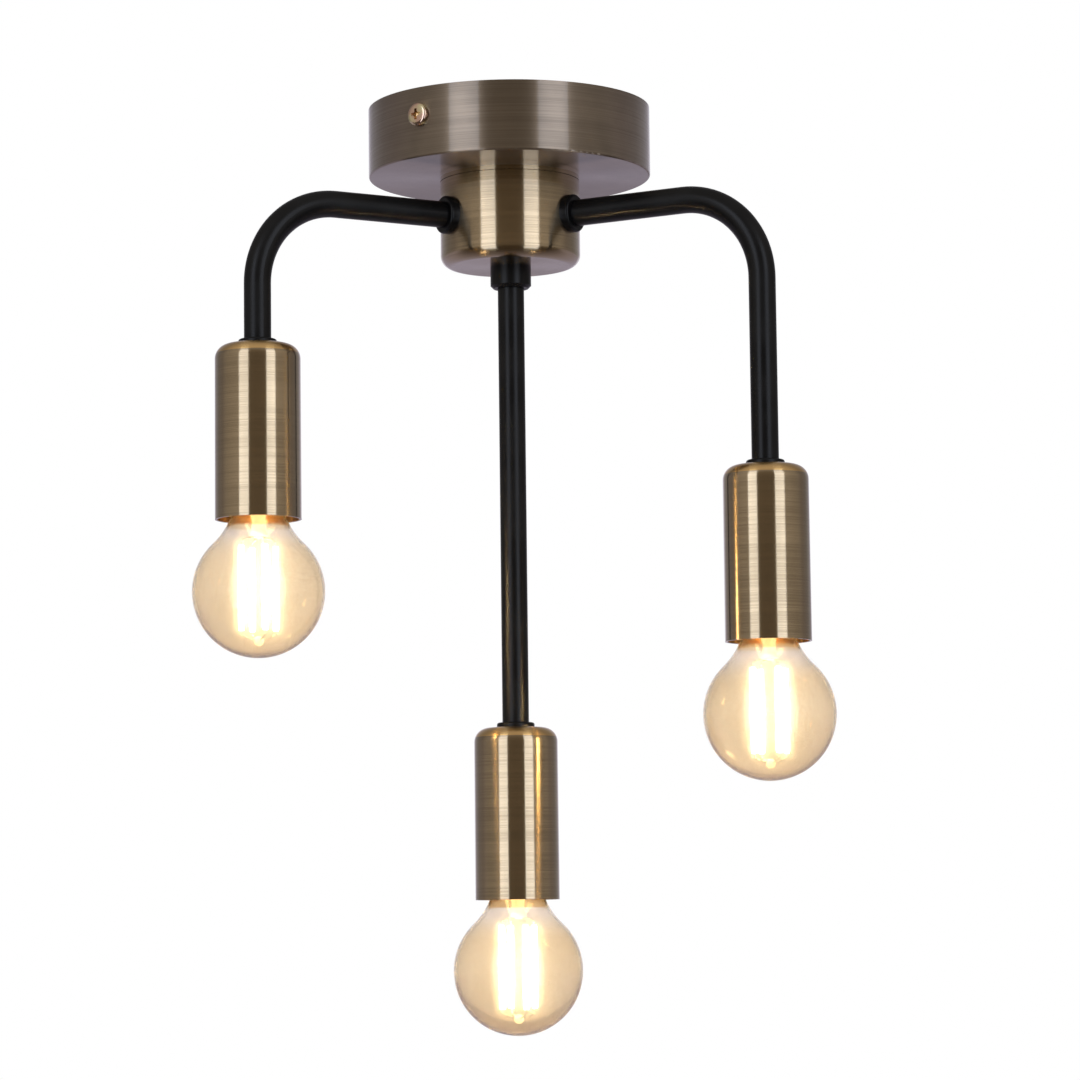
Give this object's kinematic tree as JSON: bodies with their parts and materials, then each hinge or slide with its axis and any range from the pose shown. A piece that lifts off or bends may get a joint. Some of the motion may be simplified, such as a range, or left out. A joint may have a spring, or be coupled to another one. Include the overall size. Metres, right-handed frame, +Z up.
{
  "type": "semi flush ceiling light",
  "caption": "Semi flush ceiling light with a round brass canopy and hub, bent black arms, a drop tube and filament bulbs in brass sleeves.",
  "frame": {"origin": "middle of the ceiling bracket's upper face, on the ceiling plane and on the hub's axis", "axes": "+Z up to the ceiling; the two bent arms reach forward of the hub, 60 degrees each side of -Y; +X to the longer arm's side"},
  "size_m": [0.2174, 0.1222, 0.3271],
  "materials": {
    "brushed_brass": "antique brass, brushed round the axis, clear lacquer",
    "satin_black": "satin black powder coat",
    "zinc_steel": "bright zinc plated",
    "yellow_zinc": "yellow passivated zinc plate",
    "white_plastic": "moulded",
    "lead_sheath": "round heat-resistant sheath",
    "core_brown": "single cores",
    "core_green": "earth core",
    "black_plastic": "moulded heat-resistant plastic",
    "nickel": "nickel plated",
    "contact_brass": "bare",
    "solder": "dull solder",
    "black_glass": "glassy insulator",
    "amber_glass": "pale amber tint",
    "clear_glass": "clear",
    "filament": "lit, coated light-emitting filament",
    "nickel_wire": "bare wire"
  },
  "bodies": {
    "root": {"canopy": "brushed_brass", "hub_lid": "brushed_brass", "hub_cup": "brushed_brass", "sleeve_left": "brushed_brass", "sleeve_right": "brushed_brass", "sleeve_drop": "brushed_brass", "arm_left": "satin_black", "arm_right": "satin_black", "drop_tube": "satin_black", "ferrule_left": "satin_black", "ferrule_right": "satin_black", "drop_coupling": "satin_black", "collar_left": "satin_black", "collar_right": "satin_black", "collar_drop": "satin_black", "ceiling_bracket": "zinc_steel", "hub_nipple": "zinc_steel", "nipple_washer": "zinc_steel", "nipple_nuts": "zinc_steel", "tube_nuts": "zinc_steel", "terminal_screws": "zinc_steel", "canopy_screws": "yellow_zinc", "earth_screw": "yellow_zinc", "terminal_block": "white_plastic", "lead_splice": "white_plastic", "lamp_lead_left": "lead_sheath", "lamp_lead_right": "lead_sheath", "lamp_lead_drop": "lead_sheath", "supply_leads": "core_brown", "earth_lead": "core_green", "lampholder_left": "black_plastic", "lampholder_right": "black_plastic", "lampholder_drop": "black_plastic", "screw_shell_left": "nickel", "screw_shell_right": "nickel", "screw_shell_drop": "nickel", "holder_contact_left": "contact_brass", "holder_contact_right": "contact_brass", "holder_contact_drop": "contact_brass"},
    "tip_left": {"bulb_tip_left": "solder"},
    "bulb_left": {"bulb_glass_left": "amber_glass", "bulb_cap_left": "nickel", "bulb_insulator_left": "black_glass", "bulb_stem_left": "clear_glass", "bulb_filaments_left": "filament", "bulb_wires_left": "nickel_wire"},
    "tip_right": {"bulb_tip_right": "solder"},
    "bulb_right": {"bulb_glass_right": "amber_glass", "bulb_cap_right": "nickel", "bulb_insulator_right": "black_glass", "bulb_stem_right": "clear_glass", "bulb_filaments_right": "filament", "bulb_wires_right": "nickel_wire"},
    "tip_drop": {"bulb_tip_drop": "solder"},
    "bulb_drop": {"bulb_glass_drop": "amber_glass", "bulb_cap_drop": "nickel", "bulb_insulator_drop": "black_glass", "bulb_stem_drop": "clear_glass", "bulb_filaments_drop": "filament", "bulb_wires_drop": "nickel_wire"}
  },
  "joints": [
    {"name": "bulb_left_travel", "type": "slide", "parent": "root", "child": "tip_left", "axis": [0, 0, -1], "range_m": [0, 0.01275]},
    {"name": "bulb_left_turn", "type": "hinge", "parent": "tip_left", "child": "bulb_left", "pos_m": [-0.08617, -0.04975, -0.151], "axis": [0, 0, -1], "range_deg": [0, 1620]},
    {"name": "bulb_right_travel", "type": "slide", "parent": "root", "child": "tip_right", "axis": [0, 0, -1], "range_m": [0, 0.01275]},
    {"name": "bulb_right_turn", "type": "hinge", "parent": "tip_right", "child": "bulb_right", "pos_m": [0.08617, -0.04975, -0.1945], "axis": [0, 0, -1], "range_deg": [0, 1620]},
    {"name": "bulb_drop_travel", "type": "slide", "parent": "root", "child": "tip_drop", "axis": [0, 0, -1], "range_m": [0, 0.01275]},
    {"name": "bulb_drop_turn", "type": "hinge", "parent": "tip_drop", "child": "bulb_drop", "pos_m": [0, 0, -0.28], "axis": [0, 0, -1], "range_deg": [0, 1620]}
  ],
  "couplings": [
    {"joint": "bulb_left_travel", "follows": "bulb_left_turn", "m_per_rad": 0.00044913},
    {"joint": "bulb_right_travel", "follows": "bulb_right_turn", "m_per_rad": 0.00044913},
    {"joint": "bulb_drop_travel", "follows": "bulb_drop_turn", "m_per_rad": 0.00044913}
  ]
}
